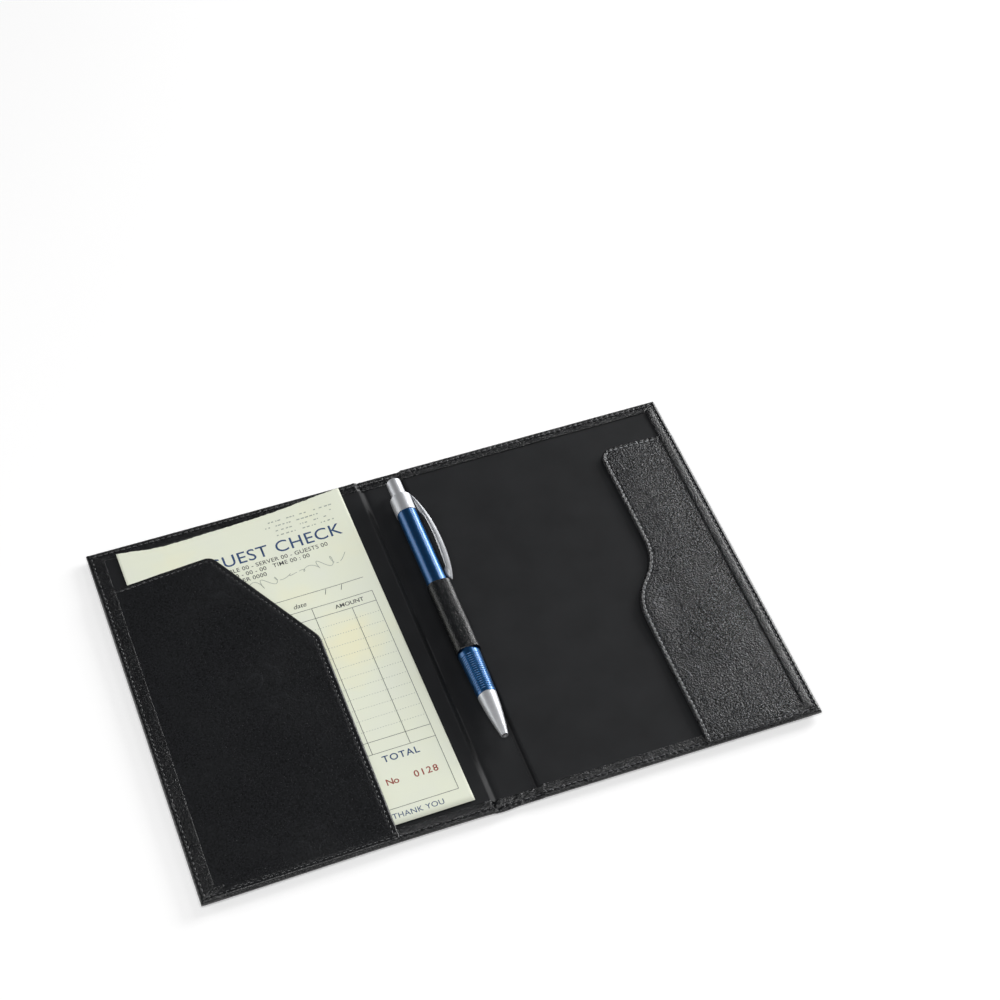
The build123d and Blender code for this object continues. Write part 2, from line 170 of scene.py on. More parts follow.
def nearest(path, x, y):  # the distance to the path, and how far along it its nearest point is
    least, place, walked = 1e9, 0, 0
    for a, b in zip(path, path[1:]):
        dx, dy = b.x - a.x, b.y - a.y
        run = dx * dx + dy * dy
        share = min(max(((x - a.x) * dx + (y - a.y) * dy) / run, 0), 1)
        gap = hypot(x - a.x - dx * share, y - a.y - dy * share)
        if gap < least:
            least, place = gap, walked + share * run ** 0.5
        walked += run ** 0.5
    return least, place


cameraView = {  # lens and sensor in mm, place in mm, turn and tilt in degrees
    "lens": 90.88, "sensor": 36, "place": (-194.0, -600.3, 838.8), "turn": -19.99, "tilt": 40.01,
}


def makeCamera():
    camera = bpy.data.objects.new("camera", bpy.data.cameras.new("camera"))
    bpy.context.scene.collection.objects.link(camera)
    camera.data.lens = cameraView["lens"]
    camera.data.sensor_width = cameraView["sensor"]
    camera.data.clip_start = 50 * mm
    camera.location = Vector(cameraView["place"]) * mm
    camera.rotation_euler = (radians(cameraView["tilt"]), 0, radians(cameraView["turn"]))
    bpy.context.scene.camera = camera


makeCamera()
print("camera placed")


def tone(code):  # an sRGB hex colour as Blender's linear one
    parts = [int(code[k:k + 2], 16) / 255 for k in (1, 3, 5)]
    return [c / 12.92 if c <= 0.04045 else ((c + 0.055) / 1.055) ** 2.4 for c in parts] + [1]


def addNode(tree, kind, inputs=None, stops=(), **settings):
    # inputs: socket name or number -> value or output; a ramp's stops: (place, hex colour or grey value)
    node = tree.nodes.new("ShaderNode" + kind)
    for name, value in settings.items():
        setattr(node, name, value)
    for socket, value in (inputs or {}).items():
        if isinstance(value, bpy.types.NodeSocket):
            tree.links.new(value, node.inputs[socket])
        else:
            node.inputs[socket].default_value = value
    for k in range(2, len(stops)):  # a new ramp has two stops
        node.color_ramp.elements.new(0.5)
    for k, (place, value) in enumerate(stops):
        node.color_ramp.elements[k].position = place
        node.color_ramp.elements[k].color = tone(value) if isinstance(value, str) else [value] * 3 + [1]
    return node


def newMaterial(name, **shaderValues):
    material = bpy.data.materials.new(name)
    material.use_nodes = True
    tree = material.node_tree
    shader = tree.nodes["Principled BSDF"]
    for socket, value in shaderValues.items():
        shader.inputs[socket.replace("_", " ")].default_value = value
    spot = addNode(tree, "TexCoord").outputs["Object"]
    return material, tree, shader, spot


def drive(tree, shader, **nodes):  # the first output of each node drives the shader's socket of that name
    for socket, node in nodes.items():
        tree.links.new(node.outputs[0], shader.inputs[socket.replace("_", " ")])


leatherLook = {
    "paintedShade": "#0b0c0d", "base": "#121315", "paintedSheen": "#1f2023",  # colours from low to high on the grain: painted shade in its valleys, painted sheen on its crowns
    "tones": (0.0, 0.3, 0.75),  # the heights at which those colours stand
    "grain": 0.68, "crease": 17.0, "patch": 31.0,  # widths of ridges, creases and glossy patches, in mm
    "cells": -0.55, "creases": 0.3, "waves": 14.0,  # how deep cells and creases cut, and how many creases
    "depth": 0.25, "strength": 1.0, "roughness": (0.22, 0.3),
    "taut": (1.7, 1.1, 0.15),  # from here to there off the fore edge the relief fades to this strength
}


def leather(name, look):
    # PU-coated leatherette, embossed by a roller: short crinkled ridges about a millimetre apart
    # with soft glossy crowns, and in places a few long curved creases from handling
    material, tree, shader, spot = newMaterial(name, IOR=1.5)
    wide = addNode(tree, "TexNoise", {"Vector": spot, "Scale": 1 / (look["crease"] * mm), "Detail": 1})
    patch = addNode(tree, "TexNoise", {"Vector": spot, "Scale": 1 / (look["patch"] * mm), "Detail": 3})
    patch = patch.outputs[0]
    ridges = addNode(tree, "TexNoise", {"Vector": spot, "Scale": 1 / (look["grain"] * mm), "Detail": 2.5,
                                        "Roughness": 0.55, "Distortion": 0.6}).outputs[0]
    cells = addNode(tree, "TexVoronoi", {"Vector": spot, "Scale": 1 / (look["grain"] * 0.95 * mm)},
                    feature="SMOOTH_F1").outputs["Distance"]
    lines = addNode(tree, "Math", {0: wide.outputs[0], 1: look["waves"]}, operation="MULTIPLY").outputs[0]
    lines = addNode(tree, "Math", {0: lines, 1: 1.0}, operation="PINGPONG").outputs[0]
    lines = addNode(tree, "ValToRGB", {"Fac": lines}, [(0.0, 1.0), (0.1, 0.35), (0.22, 0.0)]).outputs[0]
    where = addNode(tree, "ValToRGB", {"Fac": patch}, [(0.54, 0.0), (0.66, 1.0)]).outputs[0]
    lines = addNode(tree, "Math", {0: lines, 1: where}, operation="MULTIPLY").outputs[0]
    height = ridges
    for part, share in ((cells, look["cells"]), (lines, look["creases"])):
        height = addNode(tree, "Math", {0: part, 1: share, 2: height}, operation="MULTIPLY_ADD").outputs[0]
    bump = addNode(tree, "Bump", {"Height": height, "Strength": look["strength"],
                                  "Distance": look["depth"] * mm})
    if "edge" in look:  # it is drawn smooth where it turns over the fore edge
        start, end, least = look["taut"]
        across = addNode(tree, "SeparateXYZ", {"Vector": spot}).outputs["X"]
        across = addNode(tree, "Math", {0: across}, operation="ABSOLUTE").outputs[0]
        taut = addNode(tree, "MapRange", {"Value": across, "From Min": (look["edge"] - start) * mm,
                                          "From Max": (look["edge"] - end) * mm,
                                          "To Min": look["strength"], "To Max": least})
        drive(tree, bump, Strength=taut)
    gloss = addNode(tree, "MapRange", {"Value": patch, "From Min": 0.35, "From Max": 0.65,
                                       "To Min": look["roughness"][0], "To Max": look["roughness"][1]})
    # the grain's height darkens the valleys and lightens the crowns: painted shade and painted sheen
    shadeToSheen = look["paintedShade"], look["base"], look["paintedSheen"]
    colour = addNode(tree, "ValToRGB", {"Fac": height}, list(zip(look["tones"], shadeToSheen)))
    drive(tree, shader, Normal=bump, Roughness=gloss, Base_Color=colour)
    return material


def lining():
    # calendered vinyl lining: matt and almost smooth, with a faint fabric backing under it
    material, tree, shader, spot = newMaterial("matt vinyl lining", IOR=1.48, Specular_IOR_Level=0.25)
    weave = addNode(tree, "TexVoronoi", {"Vector": spot, "Scale": 1 / (0.55 * mm)},
                    feature="SMOOTH_F1").outputs["Distance"]
    waves = addNode(tree, "TexNoise", {"Vector": spot, "Scale": 1 / (16 * mm), "Detail": 3}).outputs[0]
    height = addNode(tree, "Math", {0: waves, 1: 5.0, 2: weave}, operation="MULTIPLY_ADD").outputs[0]
    bump = addNode(tree, "Bump", {"Height": height, "Strength": 0.3, "Distance": 0.05 * mm})
    colour = addNode(tree, "ValToRGB", {"Fac": waves}, [(0.3, "#17181a"), (0.7, "#1d1e20")])
    rough = addNode(tree, "MapRange", {"Value": waves, "To Min": 0.5, "To Max": 0.66})
    drive(tree, shader, Normal=bump, Base_Color=colour, Roughness=rough)
    return material


def thread(name, colour, lighter):
    # bonded polyester thread, twisted: a small silky shine, paler where it is rubbed
    material, tree, shader, spot = newMaterial(name, Roughness=0.28, IOR=1.55, Specular_IOR_Level=0.9)
    twist = addNode(tree, "TexNoise", {"Vector": spot, "Scale": 1 / (0.35 * mm), "Detail": 2}).outputs[0]
    bump = addNode(tree, "Bump", {"Height": twist, "Strength": 0.5, "Distance": 0.05 * mm})
    strands = addNode(tree, "ValToRGB", {"Fac": twist}, [(0.3, colour), (0.7, lighter)])
    drive(tree, shader, Normal=bump, Base_Color=strands)
    return material


def paper():
    # uncoated form paper: matt, faintly fibrous, pale green-cream with a yellowed patch
    material, tree, shader, spot = newMaterial("uncoated form paper", Roughness=0.82, IOR=1.45)
    fibres = addNode(tree, "TexNoise", {"Vector": spot, "Scale": 1 / (0.7 * mm), "Detail": 4}).outputs[0]
    bump = addNode(tree, "Bump", {"Height": fibres, "Strength": 0.25, "Distance": 0.04 * mm})
    clouds = addNode(tree, "TexNoise", {"Vector": spot, "Scale": 1 / (22 * mm), "Detail": 2}).outputs[0]
    patch = addNode(tree, "Mapping", {"Vector": spot, "Location": Vector((-38, 5, 3.5)) * mm,
                                      "Scale": Vector((17, 24, 30)) * mm}, vector_type="TEXTURE").outputs[0]
    patch = addNode(tree, "TexGradient", {"Vector": patch}, gradient_type="SPHERICAL").outputs["Color"]
    patch = addNode(tree, "Math", {0: patch, 1: 0.62, 2: clouds}, operation="MULTIPLY_ADD").outputs[0]
    colour = addNode(tree, "ValToRGB", {"Fac": patch}, [(0.3, "#ebefdf"), (0.6, "#edf1dd"), (1.0, "#f5f3d3")])
    drive(tree, shader, Normal=bump, Base_Color=colour)
    return material


def ink(name, colour, paler):
    # printing ink: it sinks into the paper, so it is matt and a little uneven
    material, tree, shader, spot = newMaterial(name, Roughness=0.7)
    cloud = addNode(tree, "TexNoise", {"Vector": spot, "Scale": 1 / (0.6 * mm), "Detail": 3}).outputs[0]
    drive(tree, shader, Base_Color=addNode(tree, "ValToRGB", {"Fac": cloud}, [(0.45, colour), (0.75, paler)]))
    return material


def metal(name, colour, darker, roughness, metallic=1.0, coat=0.0):
    # a turned metal part: fine rings round the pen's length under the finish
    material, tree, shader, spot = newMaterial(name, Metallic=metallic, Coat_Weight=coat, Coat_Roughness=0.16)
    stretched = addNode(tree, "Mapping", {"Vector": spot, "Scale": (0.15, 1, 0.15)}).outputs[0]
    rings = addNode(tree, "TexNoise", {"Vector": stretched, "Scale": 1 / (0.22 * mm), "Detail": 2}).outputs[0]
    bump = addNode(tree, "Bump", {"Height": rings, "Strength": 0.12, "Distance": 0.01 * mm})
    rough = addNode(tree, "MapRange", {"Value": rings, "To Min": roughness - 0.04,
                                       "To Max": roughness + 0.05})
    tint = addNode(tree, "ValToRGB", {"Fac": rings}, [(0.3, darker), (0.7, colour)])
    drive(tree, shader, Normal=bump, Coat_Normal=bump, Roughness=rough, Base_Color=tint)
    return material


def plain(name, low, high, size, roughness, depth=0.03, **values):
    # a moulded, rolled or felted material inside the object: a mottled colour with a fine relief
    material, tree, shader, spot = newMaterial(name, Roughness=roughness, **values)
    mottle = addNode(tree, "TexNoise", {"Vector": spot, "Scale": 1 / (size * mm), "Detail": 4}).outputs[0]
    bump = addNode(tree, "Bump", {"Height": mottle, "Strength": 0.4, "Distance": depth * mm})
    colour = addNode(tree, "ValToRGB", {"Fac": mottle}, [(0.3, low), (0.7, high)])
    drive(tree, shader, Normal=bump, Base_Color=colour)
    return material


# the covers' leather is the common one, a little deeper, and drawn smooth at the fore edge
coverLeather = leather("pu leather", {**leatherLook, "depth": 0.32, "edge": corner("back_cover_skin", 1)[0]})
cardLeather = leather("pu leather, deep grain, painted sheen", {  # stretched, so its grain is deeper; its grey crowns and black valleys are painted sheen and painted shade
    **leatherLook, "grain": 0.73, "depth": 0.38, "paintedShade": "#040405", "paintedSheen": "#404246",
    "tones": (0.15, 0.3, 0.54),
})
billLeather = leather("pu leather, plated flat, painted soft light", {  # pressed flat by the plate, so its relief is shallow; its lighter base and crowns are painted soft light
    **leatherLook, "depth": 0.11, "base": "#1b1c1e", "paintedSheen": "#26272a",
})
loopLeather = leather("pu leather strap", {  # polished by the pen and by fingers
    **leatherLook, "grain": 0.6, "depth": 0.22, "roughness": (0.15, 0.2),
})
vinylLining = lining()
blackThread = thread("polyester thread, black", "#1a1b1d", "#38393c")
# a lighter copy of the black thread: painted sheen on the back cover's seams
paintedSheenThread = thread("polyester thread, worn", "#28292c", "#54555a")
# a pale copy of the black thread: painted highlight on the card pocket's seam
paintedGlintThread = thread("polyester thread, painted glint", "#6b6d70", "#aeb0b3")
formPaper = paper()
navyInk = ink("navy printing ink", "#1f416f", "#3d5c86")
blackInk = ink("black printing ink", "#3c3e3e", "#5d605e")
greyInk = ink("grey pencil", "#9fa69b", "#b9c0b2")
redInk = ink("red-brown stamp ink", "#94382b", "#ab5a4a")
# satin plating spreads the lamps into soft bands; a clear coat over blue anodising adds a sharper glint
satinSilver = metal("satin plated metal", "#d0d2d5", "#c4c6ca", 0.46, metallic=0.72)
blueAnodised = metal("blue anodised aluminium", "#1f5a90", "#1a4e80", 0.42, coat=0.8)

cadFinishes = {
    satinSilver: ("nose_cone", "pen_cap", "pen_clip", "push_button"),
    blueAnodised: ("lower_barrel", "upper_barrel"),
    # acetal, moulded: milky white with a waxy shine
    plain("moulded acetal", "#d8d8d2", "#e2e2dd", 0.8, 0.42): (
        "click_sleeve", "click_plunger", "click_rotor"),
    # steel wire, drawn through a die: bright, and faintly streaked
    plain("drawn spring steel", "#8d8f92", "#a5a7aa", 0.3, 0.3, Metallic=1.0): ("refill_spring",),
    # plastic tube, extruded: smooth and clouded grey by its ink
    plain("extruded refill tube", "#b6bac0", "#c4c8cd", 1.5, 0.35): ("refill_tube",),
    # brass, turned: warm yellow with a keen shine
    plain("turned brass", "#b08d4a", "#c7a561", 0.25, 0.28, Metallic=1.0): ("refill_point",),
    # waste paper board, rolled: dull grey with specks
    plain("grey binder's board", "#8b8780", "#9d9991", 1.2, 0.9, 0.08): (
        "back_cover_board", "front_cover_board"),
    # polyether, foamed: pale and dull, pitted by its cells
    plain("polyether foam", "#cfccc2", "#dbd8cf", 0.5, 0.95, 0.15): (
        "back_cover_padding", "front_cover_padding"),
    # black card, rolled: dull and even
    plain("black liner card", "#1c1c1e", "#262628", 0.9, 0.85): ("spine_filler",),
}
for finish, nodes in cadFinishes.items():
    for node in nodes:
        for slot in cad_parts[node].material_slots:
            slot.material = finish
print("materials made")


# covers: one leather skin wrapped round boards, foam and spine, split at the middle of the spine
cover = {
    "reach": corner("back_cover_skin", 1)[0], "half": corner("back_cover_skin", 1)[1],
    "top": corner("back_cover_skin", 1)[2], "spineTop": corner("spine_skin", 1)[2],
    "boardStart": corner("back_cover_board", 0)[0], "boardTop": corner("back_cover_board", 1)[2] + 0.04,
    "fillerEdge": corner("spine_filler", 1)[0], "fillerTop": corner("spine_filler", 1)[2] + 0.04,
    "window": corner("back_cover_liner", 1)[0], "windowHalf": corner("spine_liner", 1)[1], "tuck": 1.4,
    "hinge": corner("spine_skin", 1)[0], "bend": 1.5,  # the fold's middle, and half of what bends
    "seam": 2.0, "pitch": 2.5, "groove": 0.14, "hole": 0.34, "scallop": 0.12,  # the stitching's dips
    "puffWidth": 11.0, "puffHeight": 0.5,  # the padding dies away over this width
    "undercut": 1.3, "undercutWidth": 2.4,  # and the leather rises to the edge over this one
    "crush": 0.3, "crushWidth": 1.7,  # the underside's hollow along a hinge line
    "leastRise": 0.62, "boardRise": 0.6,  # how far spine and boards let the underside rise
    "pucker": 0.6, "hingeDip": 0.3, "overPocket": 0.62, "pressed": 0.2, "cornerSwell": 0.35,
    "mitreRidge": 0.2, "mitreDip": 0.3,  # all of these raise or lower the turned-in strips
    "longer": 1.5, "narrower": 0.88,  # the front cover's longer corner, the back cover's narrower wrap
    "step": 0.65, "hingeStep": 0.4, "fineStep": 0.35,  # between the mesh's points
}
# the wrap round an edge, level by level from the underside up and inwards:
# (inset at the fore edge, inset at the ends, share of the height, extra height)
wrap = [
    (0, 0, 0.0, 0), (0, 0, 0.2, 0), (0.02, 0.02, 0.45, 0), (0.1, 0.1, 0.64, 0), (0.24, 0.24, 0.77, 0),
    (0.48, 0.48, 0.86, 0), (0.78, 0.78, 0.92, 0), (1.08, 1.08, 0.97, 0), (1.35, 1.35, 1, 0),
    (1.65, 1.65, 1, 0), (2.0, 2.0, 1, 0), (2.35, 2.35, 1, 0.02), (2.7, 2.65, 1, 0.08), (3.2, 3.05, 1, 0.17),
    (3.8, 3.5, 1, 0.27), (4.5, 4.0, 1, 0.35), (5.3, 4.5, 1, 0.4), (6.0, 4.9, 1, 0.41), (6.4, 5.1, 1, 0.4),
    (6.65, 5.27, 1, 0.34), (6.8, 5.36, 1, 0.2), (6.88, 5.4, 1, 0.03), (6.9, 5.4, 1, -0.14),
    (6.9, 5.4, 1, -0.3),
]


# half the length of the seam along the fore edges and of that along head and foot
foreRun, endRun = cover["half"] - cover["seam"], cover["reach"] - cover["seam"]


def seamPitch(run):  # whole stitches fill the seam
    return 2 * run / round(2 * run / cover["pitch"])


def seamWave(place, run):  # 1 where the thread goes through and -1 midway between
    return cos(2 * pi * (place + run) / seamPitch(run))


def seamDip(x, y):  # the thread draws the leather into a groove, deepest where it goes through
    dip = 0
    for inset, place, run in ((cover["reach"] - abs(x), y, foreRun), (cover["half"] - abs(y), x, endRun)):
        off = inset - cover["seam"]
        if abs(off) > 2 or abs(place) > run + 0.6:
            continue
        through = 0.5 + 0.5 * seamWave(place, run)
        dip = max(dip, cover["groove"] * bell(off, 0.5) + cover["hole"] * through * bell(off - 0.1, 0.8))
    return dip


def scallop(x, y):  # the edge swells between the stitches
    insetX, insetY = cover["reach"] - abs(x), cover["half"] - abs(y)
    wave = seamWave(y, foreRun) if insetX < insetY else seamWave(x, endRun)
    return cover["scallop"] * bell(min(insetX, insetY) - 0.9, 0.7) * (0.5 - wave)


def undersideHeight(x, y):  # the padded outside rests on the table and thins out past its seam
    edge = min(cover["reach"] - abs(x), cover["half"] - abs(y))
    lift = cover["puffHeight"] * ease(cover["puffWidth"], cover["seam"], edge)
    lift += cover["undercut"] * (1 - min(edge / cover["undercutWidth"], 1)) ** 1.7
    lift += cover["crush"] * bell(abs(x) - cover["hinge"], cover["crushWidth"]) + seamDip(x, y)
    most = cover["leastRise"] + cover["boardRise"] * ease(cover["hinge"], cover["hinge"] + 1.8, abs(x))
    return min(lift, most + ease(0.7, 0.2, edge))  # what lies inside keeps it down


def stripHeight(x, y):  # the upper side of the leather that is turned over the edges
    top, spineTop = cover["top"], cover["spineTop"]
    height = spineTop + (top - spineTop) * ease(cover["hinge"] - 0.9, cover["hinge"] + 1.3, abs(x))
    height -= cover["hingeDip"] * bell(abs(x) - cover["hinge"] + 0.4, 0.8)
    gathers = max(bell(abs(x) - cover["hinge"] + 0.6, 3.0), 0.6 * bell(x - 1, 4.5))  # puckers by the hinges
    if gathers > 0.02:
        folds = ripple(x, y, 1.1, 1) + ripple(x * 1.9, y * 0.6, 1.8, 2)
        height += gathers * cover["pucker"] * folds * (1.5 if y < 0 else 0.7)
    height += 0.05 * ripple(x, y, 6, 3) + 0.03 * ripple(x, y, 2.2, 4)
    if abs(x) > cover["window"] - 4:
        height += cover["overPocket"] * ease(72, 66, y)  # the strip lies over the pocket's edge
    height -= cover["pressed"] * ease(-10, -20, x) * ease(80, 84, y)  # the slip has pressed it down
    height += cover["cornerSwell"] * bell(x - 125.8, 1.5) * bell(y - 83, 3.2)  # at the upper outer corner
    insetX, insetY = cover["reach"] - abs(x), cover["half"] - abs(y)
    if insetX < wrap[-1][0] and insetY < wrap[-1][1]:
        mitre = 0.62 * insetX - 0.79 * insetY  # where two turn-ins meet
        height += cover["mitreRidge"] * bell(mitre - 0.28, 0.22)
        height -= cover["mitreDip"] * bell(mitre + 0.16, 0.22)
    return height + scallop(x, y) - seamDip(x, y)


def swelling(x, y):  # only the back cover's fore edge is padded right across its turn-in
    return 0.25 + 0.75 * ease(cover["reach"] - 8, cover["reach"] - 6.5, x) * ease(89, 81, abs(y))


def heldUpBy(x):  # the top of the board, of the spine's filler or, at a hinge line between them, nothing
    if abs(x) > cover["boardStart"]:
        return cover["boardTop"]
    return cover["fillerTop"] if abs(x) < cover["fillerEdge"] else 0


def atFoot(x, y):  # the leather hangs out a little at the spine's foot
    return y - 0.5 * bell(x + 7, 5) * ease(-86, -89.9, y)


def skinSpot(column, row):  # each is (place in mm, level of the wrap)
    (x, level), (y, endLevel) = column, row
    if level and endLevel:
        return None
    side, end = (1 if x > 0 else -1), (1 if y > 0 else -1)
    inset, endInset, share, extra = wrap[max(level, endLevel)]
    inset *= cover["narrower"] if side > 0 else 1
    if level:
        x, y = side * (cover["reach"] - inset), y * (1 - endInset / cover["half"])
    elif endLevel:
        x, y = x * (1 - inset / cover["reach"]), end * (cover["half"] - endInset)
    base = undersideHeight(x, y)
    if not (level or endLevel):
        return x, atFoot(x, y), base
    wave = 0.06 * ripple(x, y, 14, 5) * ease(4, 6.8, inset)
    extra *= swelling(x, y) if extra > 0 else 1
    height = base + share * (stripHeight(x, y) - base) + extra
    if share == 1:  # it rests on the boards and on the spine's filler
        height = max(height, heldUpBy(x))
    x, y = (x + side * wave, y) if level else (x, y + end * wave * 3)
    return x, atFoot(x, y), height


def makeSkin(name, side):
    reach, half, step, fine = cover["reach"], cover["half"], cover["step"], cover["fineStep"]
    near, far = cover["hinge"] - cover["bend"], cover["hinge"] + cover["bend"]
    marks = ticks(0, (near - 0.5, step), (far + 1.5, cover["hingeStep"]), (reach - 1, step), (reach, fine))
    levels = range(1, len(wrap))
    columns = [(x, 0) for x in marks] + [(reach, k) for k in levels]
    if side < 0:
        columns = [(-x, k) for x, k in columns[::-1]]
    rows = [(y, 0) for y in ticks(-half, (1 - half, fine), (half - 1, step), (half, fine))]
    rows = [(-half, k) for k in levels][::-1] + rows + [(half, k) for k in levels]
    skin = gridSheet(name, columns, rows, skinSpot)
    onAll(bpy.ops.mesh.flip_normals)
    bpy.ops.object.shade_smooth()
    paint(skin, coverLeather)
    return skin


def bendWith(piece, side):  # bakes the piece's placement into its points
    if side > 0:
        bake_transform(piece)
    else:
        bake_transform(piece)


liningShape = {  # heights, then for each side's fold: where it rises, and its dip's depth, place and width
    "low": cover["spineTop"] - 0.2, "high": 2.95,
    "back": (9.3, 10.3, 0.75, 9.35, 0.75),  # tight
    "front": (8.0, 10.7, 0.3, 7.9, 1.0),  # slack
}


def liningHeight(x, y):
    start, end, depth, place, width = liningShape["back" if x > 0 else "front"]
    height = liningShape["low"] + (liningShape["high"] - liningShape["low"]) * ease(start, end, abs(x))
    height -= depth * bell(abs(x) - place, width)
    return height + 0.05 * ripple(x, y, 24, 6) + 0.02 * ripple(x, y, 7, 7)


def makeLining(name, side):
    near = cover["hinge"] - cover["bend"] - 1.2
    marks = ticks(0, (near, 1.2), (near + 2 * cover["bend"] + 2, 0.2), (cover["window"] + cover["tuck"], 2.5))
    if side < 0:
        marks = [-x for x in marks[::-1]]
    rows = ticks(-cover["windowHalf"] - 0.5, (cover["windowHalf"] + 0.5, 2))
    sheet = gridSheet(name, marks, rows, lambda x, y: (x, y, liningHeight(x, y)))
    bpy.ops.object.shade_smooth()
    paint(sheet, vinylLining)
    return sheet


def drawCorner(piece):  # the front cover is a little longer at its lower outer corner
    for point in piece.data.vertices:
        x, y = point.co.x / mm, point.co.y / mm
        point.co.y -= cover["longer"] * ease(35, 150, -x) * ease(-20, 90, -y) * mm


sideNames = {1: "back", -1: "front"}
for side, word in sideNames.items():
    skin = makeSkin(word + "CoverLeather", side)
    bendWith(skin, side)
    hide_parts(word + "_cover_skin", "spine_skin")
    drawCorner(skin)
    sheet = makeLining(word + "Lining", side)
    bendWith(sheet, side)
    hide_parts(word + "_cover_liner", "spine_liner")
print("covers made")


# pockets: single sheets with a turned and stitched free edge, sewn down at the fore edge and foot
pocketBottom = corner("bill_pocket", 0)[1]
billPocket = {
    "name": "billPocketLeather", "node": "bill_pocket", "body": "front_cover",
    "points": [(-49.3, pocketBottom), (-49.3, 14.6), (-80.4, 70.6), (-123.9, 67.4)],
    "radii": [10, 5], "seam": 2.1, "bow": 0.25, "crest": 0.2, "swell": 0,
}
cardPocket = {
    "name": "cardPocketLeather", "node": "card_pocket", "body": "back_cover",
    "points": [(80.2, pocketBottom), (80.2, -12.7), (95.2, 6.2), (95.2, 69.6), (123.9, 69.6)],
    "radii": [28, 28, 6.5], "seam": 1.7, "bow": 0.35, "crest": 0.34, "swell": 0.7,
}
pocketShape = {
    "top": corner("card_pocket", 1)[2], "foot": 3.9, "footRise": 0.62, "fore": 3.7, "thickness": 0.62,
    "groove": 0.16, "edgeDrop": 0.5, "footDrop": 0.55,  # the seam's, and how edge and foot turn down
    "slipX": -118.2, "slipY": -84.4, "slipTop": 3.76,  # the slip's lower outer corner and its height
    "step": 0.66, "rim": (2.35, 1.95, 1.6, 1.3, 1.0, 0.75, 0.5, 0.3, 0.12, 0),  # between the mesh's points
}


def pocketHeight(pocket, x, y):
    fore = cover["window"] - abs(x)
    free, place = nearest(pocket["path"], x, y)
    height = pocketShape["fore"] + (pocketShape["top"] - pocketShape["fore"]) * ease(-6, 20, fore)
    height = min(height, pocketShape["foot"] + pocketShape["footRise"] * ease(0, 9, y - pocketBottom))
    height += pocket["bow"] * ripple(x, y, 30, 8) * ease(0, 20, y - pocketBottom) * ease(0, 12, fore)
    height += 0.05 * ripple(x, y, 5, 9)
    height += pocket["swell"] * bell(x - 84, 6) * bell(y + 22, 14)  # its mouth has opened below the step
    if free < 4:  # the folded edge: a rounded crest, then the groove of its seam
        off, through = free - pocket["seam"], 0.5 + 0.5 * cos(2 * pi * place / pocket["pitch"])
        crest = pocket["crest"] * bell(free - pocket["seam"] * 0.5, pocket["seam"] * 0.36)
        height += crest * (1 - 0.8 * through)
        height -= pocketShape["groove"] * (bell(off, 0.45) + through * bell(off, 0.6))
        height -= pocketShape["edgeDrop"] * (1 - min(free / 0.55, 1)) ** 2
    height -= pocketShape["footDrop"] * (1 - min((y - pocketBottom) / 1.1, 1)) ** 2
    return height - seamDip(x, y) * 0.8


def makePocket(pocket):
    path = roundedPath(pocket["points"], pocket["radii"])
    pocket["path"] = path
    pocket["pitch"] = pathLength(path) / round(pathLength(path) / cover["pitch"])
    bend = Vector(pocket["points"][-2])
    middle = min(range(len(path)), key=lambda k: (path[k] - bend).length)
    free, top = path[:middle + 1], path[middle:][::-1]  # both end at the rounded corner
    freeLength, topLength = pathLength(free), pathLength(top)
    foot, fore = Vector(pocket["points"][0]), Vector(pocket["points"][-1])
    rim = pocketShape["rim"]

    def marks(length):
        return ticks(0, (length - rim[0], pocketShape["step"]))[:-1] + [length - inset for inset in rim]

    def spot(u, v):  # shares of the way from the fore edge and from the foot
        head, mouth = along(top, topLength * u)[0], along(free, freeLength * v)[0]
        base = Vector((fore.x + (foot.x - fore.x) * u, pocketBottom))
        side = Vector((fore.x, pocketBottom + (fore.y - pocketBottom) * v))
        corners = (Vector((fore.x, pocketBottom)) * (1 - u) * (1 - v) + foot * u * (1 - v)
                   + fore * (1 - u) * v + free[-1] * u * v)
        x, y = base * (1 - v) + head * v + side * (1 - u) + mouth * u - corners
        return x, y, pocketHeight(pocket, x, y)

    columns = [mark / abs(foot.x - fore.x) for mark in marks(abs(foot.x - fore.x))]
    rows = [mark / freeLength for mark in marks(freeLength)]
    sheet = gridSheet(pocket["name"], columns if fore.x < 0 else columns[::-1], rows, spot)
    thicken(sheet, pocketShape["thickness"])
    if pocket is billPocket:  # its underside lies on the slip
        for point in sheet.data.vertices:
            if point.co.x > pocketShape["slipX"] * mm and point.co.y > pocketShape["slipY"] * mm:
                point.co.z = max(point.co.z, pocketShape["slipTop"] * mm)
    drawCorner(sheet)
    paint(sheet, cardLeather if pocket is cardPocket else billLeather)
    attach(sheet, pocket["body"])
    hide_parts(pocket["node"])


for pocket in (billPocket, cardPocket):
    makePocket(pocket)
print("pockets made")


stitch = {
    "length": 1.75, "radius": 0.25, "flat": 0.85, "dive": 0.2,  # its ends dive into their holes
    "lift": 0.08, "sway": 0.07, "sizes": (0.92, 1.06),  # no two are laid quite alike
}


def oneStitch():  # a short length of thread between two holes
    bpy.ops.object.select_all(action="DESELECT")
    bpy.ops.mesh.primitive_uv_sphere_add(segments=8, ring_count=7, radius=1)
    seed = bpy.context.object
    for point in seed.data.vertices:
        share = point.co.z
        point.co = Vector((share * stitch["length"] / 2, point.co.y * stitch["radius"],
                           point.co.x * stitch["radius"] * stitch["flat"] - stitch["dive"] * share ** 4)) * mm
    onAll(bpy.ops.mesh.normals_make_consistent, inside=False)
    bpy.ops.object.shade_smooth()
    paint(seed, blackThread)
    return seed


